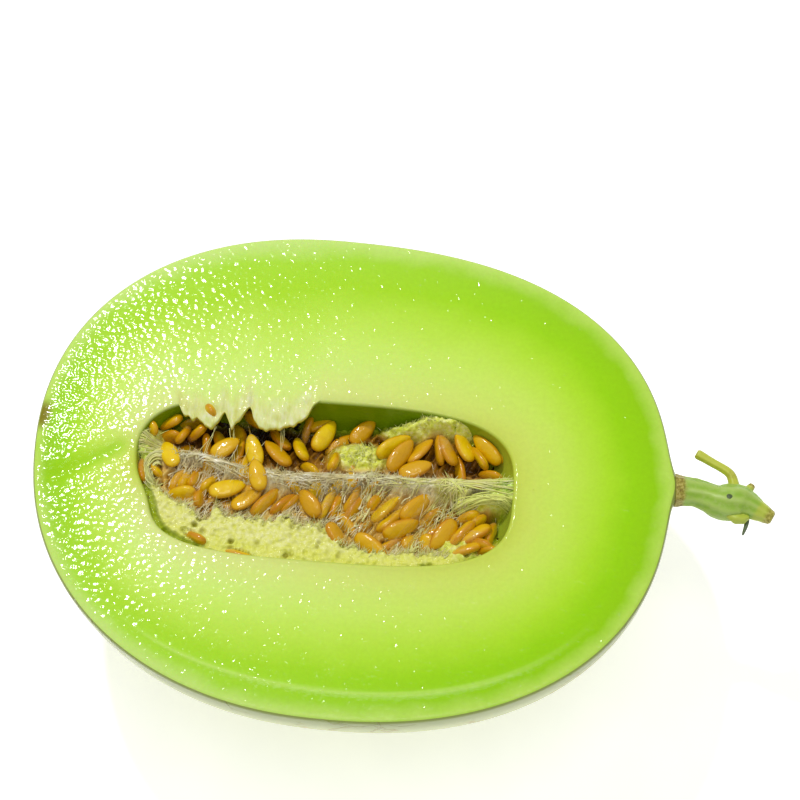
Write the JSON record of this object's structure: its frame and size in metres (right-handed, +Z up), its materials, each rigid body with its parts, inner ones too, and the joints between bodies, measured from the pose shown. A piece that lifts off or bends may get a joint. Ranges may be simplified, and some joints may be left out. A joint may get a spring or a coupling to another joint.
{
  "type": "honeydew melon",
  "caption": "Halved melon lying on its rind: thick green flesh round a seed cavity filled with pulp and golden seeds, with a short green stem at one end.",
  "frame": {"origin": "middle of the small flat spot that the fruit lies on, straight under its widest section", "axes": "+X along the fruit towards the stem, +Y across the cut face, +Z up, square to the cut face"},
  "size_m": [0.2103, 0.1458, 0.0727],
  "materials": {
    "flesh_and_rind": "wet green flesh on the cut face, smooth pale yellow-green rind outside",
    "pulp": "wet, soft and fibrous, cream to yellow-green",
    "seed_skin": "wet golden amber seed skin",
    "stalk_skin": "satin green stem skin with corky tan places"
  },
  "bodies": {
    "root": {"melon_half": "flesh_and_rind", "seed_pulp": "pulp", "seeds_upper_left": "seed_skin", "seeds_upper_middle": "seed_skin", "seeds_upper_right": "seed_skin", "seeds_lower_left": "seed_skin", "seeds_lower_middle": "seed_skin", "seeds_lower_right": "seed_skin", "stem": "stalk_skin"}
  },
  "joints": []
}
